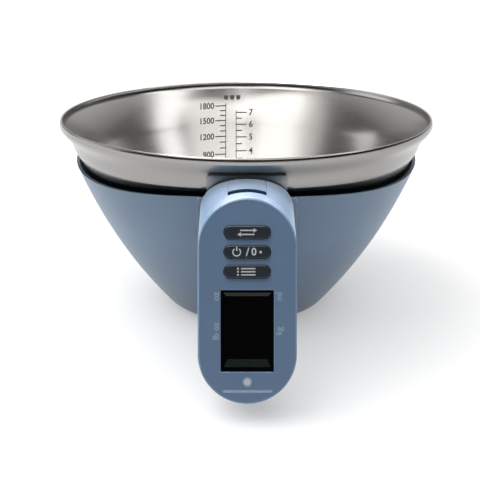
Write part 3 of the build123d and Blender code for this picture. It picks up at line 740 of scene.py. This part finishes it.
def make_legends():
    """Pictograms on the buttons: swap units, on and zero, menu."""
    stroke = 0.55

    def on_button(y):
        return lambda u, v, h: on_face(u, v + y, BUTTON_TOP + h)

    swap = Sheet()
    for side in (-1, 1):
        middle, tip, root = side * 0.85, side * 4.1, side * 2.6
        swap.bar(-3.0, middle - stroke / 2, 3.0, middle + stroke / 2)
        head = [(tip, middle), (root, middle + 0.95), (root, middle - 0.95)]
        swap.shape(head[::side])
    power = Sheet()
    power.arc(-4.4, 0, 1.35, 1.85, 125, 415)
    power.bar(-4.4 - stroke / 2, 0.5, -4.4 + stroke / 2, 2.2)
    power.shape([(-0.7, -1.7), (-0.2, -1.7), (0.9, 1.8), (0.4, 1.8)])
    power.word("0", 2.8, 0, 4.4)
    power.arc(5.6, 0, 0.0, 0.55)
    menu = Sheet()
    for row in (-1, 0, 1):
        menu.bar(-2.6, row * 1.3 - stroke / 2, 3.4, row * 1.3 + stroke / 2)
        menu.arc(-3.9, row * 1.3, 0.0, 0.42)
    for art in (swap, power, menu):
        art.vertices = [(x * LEGEND_SCALE, y * LEGEND_SCALE) for x, y in art.vertices]
    for art, key in ((swap, "unit"), (power, "zero"), (menu, "mode")):
        surface = on_button(BUTTON_ROWS[key])
        art.lay(f"{key}_legend", surface, f"{key}_key", "print_light", print_pale)


def make_unit_marks():
    """Small unit marks beside the window."""
    art = Sheet()
    left, right, upper, lower = -14.7, 15.0, 2.2, -14.0
    for text, x, y in (
        ("oz", left, upper), ("lb oz", left, lower), ("ml", right, upper), ("kg", right, lower),
    ):
        art.word(text, x, y, 4.2, turned=90)
    art.lay("unit_marks", on_face, "base", "print_light", print_faint)
    dot = Sheet()
    dot.arc(0, MARK_CENTRE, 0.0, 1.5)
    dot.lay("mark_dot", on_face, "base", "print_light", print_pale)


def make_lock_spring():
    """Coil spring under the front of the thumb tab."""
    ring, around = 8, 24
    vertices, faces = [], []
    for i in range(around * SPRING_TURNS + 1):
        turn = 2 * math.pi * i / around
        z = SPRING_FOOT + SPRING_PITCH * i / around
        for k in range(ring):
            tilt = 2 * math.pi * k / ring
            r = SPRING_RADIUS + SPRING_WIRE * math.cos(tilt)
            x, y = r * math.cos(turn), SPRING_Y + r * math.sin(turn)
            vertices.append((x, y, z + SPRING_WIRE * math.sin(tilt)))
        for k in range(ring if i else 0):
            a, b = (i - 1) * ring + k, (i - 1) * ring + (k + 1) % ring
            faces.append([a, b, b + ring, a + ring])
    faces.append(list(range(ring))[::-1])
    faces.append(list(range(len(vertices) - ring, len(vertices))))
    steel = looks["spring_steel"]
    spring = new_piece("return_spring", vertices, faces, "base", steel, 60)
    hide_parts("lock_spring")
    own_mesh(spring)


make_bowl()
make_lock_spring()
make_volume_scale()
make_window()
make_legends()
make_unit_marks()


# ---- camera, light and floor -----------------------------------------------------------------

CAMERA_DISTANCE = 0.495
CAMERA_HEIGHT = 0.2201
CAMERA_SIDE = -0.0025
CAMERA_PITCH = math.radians(20.3)
CAMERA_LENS = 62.25
CAMERA_SHIFT = -0.004
FLOOR_GLOW = 0.335
FILL_RADIANCE = 2.0
KEY_RADIANCE = 20.0
COLLAR_RADIANCE = 20.0
COLLAR_COLOUR = (1.0, 0.95, 0.85)
LIGHT_TARGET = Vector((0, 0, 0.08))
WORLD_AXIS = (0.0, 0.5, 0.85)
WORLD_STRENGTH = 1.7
BACKDROP = 0.62
WORLD_RAMP = [(0.0, 0.01), (0.25, 0.05), (0.45, 0.10), (0.7, 0.5), (1.0, 1.15)]


def make_camera():
    """Camera in front of the handle, looking down at the bowl."""
    data = bpy.data.cameras.new("camera")
    data.lens = CAMERA_LENS
    data.shift_x = CAMERA_SHIFT
    data.clip_start = 0.01
    camera = bpy.data.objects.new("camera", data)
    bpy.context.scene.collection.objects.link(camera)
    camera.location = (CAMERA_SIDE, -CAMERA_DISTANCE, CAMERA_HEIGHT)
    camera.rotation_euler = Euler((math.pi / 2 - CAMERA_PITCH, 0, 0))
    bpy.context.scene.camera = camera


def softbox(name, azimuth, elevation, size, radiance, colour=(1, 1, 1), distance=1.6):
    """Rectangular light aimed at the bowl; azimuth 0 is in front and 90 is to the right."""
    turn, rise = math.radians(azimuth), math.radians(elevation)
    level = math.cos(rise)
    away = Vector((math.sin(turn) * level, -math.cos(turn) * level, math.sin(rise)))
    data = bpy.data.lights.new(name, "AREA")
    data.shape = "RECTANGLE"
    data.size, data.size_y = size
    data.energy = radiance * 4 * size[0] * size[1]
    data.color = colour
    light = bpy.data.objects.new(name, data)
    bpy.context.scene.collection.objects.link(light)
    light.location = LIGHT_TARGET + away * distance
    light.rotation_euler = (-away).to_track_quat("-Z", "Y").to_euler()
    return light


def make_world():
    """Studio light from overhead and behind, with a plain white backdrop in view."""
    world = bpy.data.worlds.new("studio")
    bpy.context.scene.world = world
    world.use_nodes = True
    tree = world.node_tree
    place = tree.nodes.new("ShaderNodeTexCoord")
    slant = tree.nodes.new("ShaderNodeVectorMath")
    slant.operation = "DOT_PRODUCT"
    slant.inputs[1].default_value = WORLD_AXIS
    ramp = tree.nodes.new("ShaderNodeValToRGB")
    ramp.color_ramp.elements[1].position = WORLD_RAMP[-1][0]
    for position, _ in WORLD_RAMP[1:-1]:
        ramp.color_ramp.elements.new(position)
    for element, (_, level) in zip(ramp.color_ramp.elements, WORLD_RAMP):
        element.color = (level, level, level, 1)
    tree.links.new(place.outputs["Generated"], slant.inputs[0])
    tree.links.new(slant.outputs["Value"], ramp.inputs["Fac"])
    rays = tree.nodes.new("ShaderNodeLightPath")
    backdrop = tree.nodes.new("ShaderNodeMix")
    backdrop.data_type = "RGBA"
    tree.links.new(rays.outputs["Is Camera Ray"], backdrop.inputs[0])
    tree.links.new(ramp.outputs["Color"], backdrop.inputs[6])
    backdrop.inputs[7].default_value = (BACKDROP, BACKDROP, BACKDROP, 1)
    background = tree.nodes["Background"]
    tree.links.new(backdrop.outputs[2], background.inputs["Color"])
    background.inputs["Strength"].default_value = WORLD_STRENGTH


def light_group(name, members):
    """Collection that a light can be linked to."""
    group = bpy.data.collections.new(name)
    for member in members:
        group.objects.link(member)
    return group


def make_light():
    """Soft boxes in front of, behind and beside the scale, most for one part of it only."""
    warm = (1.0, 0.985, 0.965)
    floor = bpy.data.objects["floor"]
    key = softbox("key", -103, 75, (3.0, 3.0), KEY_RADIANCE, distance=8)
    not_floor = light_group("not_floor", [floor])
    not_floor.collection_objects[0].light_linking.link_state = "EXCLUDE"
    key.light_linking.receiver_collection = not_floor
    softbox("low_left", -97, 10, (1.2, 0.5), 0.9)

    nodes = ("handle_front", "handle_rear", "thumb_lock")
    for_handle = light_group("for_handle", [frame["nodes"][node] for node in nodes])
    for azimuth, elevation, share in ((-165, 68, 0.8), (-125, 50, 0.75), (128, 50, 0.6)):
        radiance = COLLAR_RADIANCE * share
        collar = softbox("collar", azimuth, elevation, (0.8, 0.5), radiance, COLLAR_COLOUR)
        collar.light_linking.receiver_collection = for_handle
        collar.light_linking.blocker_collection = for_handle

    for_floor = light_group("for_floor", [floor])
    for made in (
        softbox("floor_left", -80, 55, (5.5, 5.5), FILL_RADIANCE * 1.5, distance=6),
        softbox("floor_front", 5, 50, (6.0, 5.0), FILL_RADIANCE, distance=6),
    ):
        made.light_linking.receiver_collection = for_floor

    for_bowl = light_group("for_bowl", [bpy.data.objects["bowl_body"]])
    for made in (
        softbox("front_left", -28, 38, (1.0, 0.95), 1.9, warm),
        softbox("side_left", -58, 38, (0.5, 0.95), 0.75, warm),
        softbox("front_right", 27, 36, (1.2, 0.8), 1.3, warm),
        softbox("band_right", 69, 40, (0.52, 1.0), 2.0),
        softbox("streak", 2.5, 50, (0.07, 1.2), 4.0),
    ):
        made.light_linking.receiver_collection = for_bowl


def make_floor():
    """Plain pale floor that glows more far away, so that no horizon shows."""
    bpy.ops.mesh.primitive_plane_add(size=60, location=(0, 0, 0))
    floor = bpy.context.object
    floor.name = "floor"
    look = Look("floor", (0.5, 0.5, 0.5), 0.8)
    look.set("Base Color", look.tint(look.noise(3.0), 0.995, 1.005))
    look.set("Specular IOR Level", 0.0)
    look.set("Emission Color", (1, 1, 1, 1))
    away = look.vector_math("LENGTH", look.place())
    look.set("Emission Strength", look.span(away, FLOOR_GLOW, 1.0, 1.5, 8.0))
    floor.data.materials.append(look.material)


make_camera()
make_world()
make_floor()
make_light()
bpy.context.scene.view_settings.view_transform = "Standard"
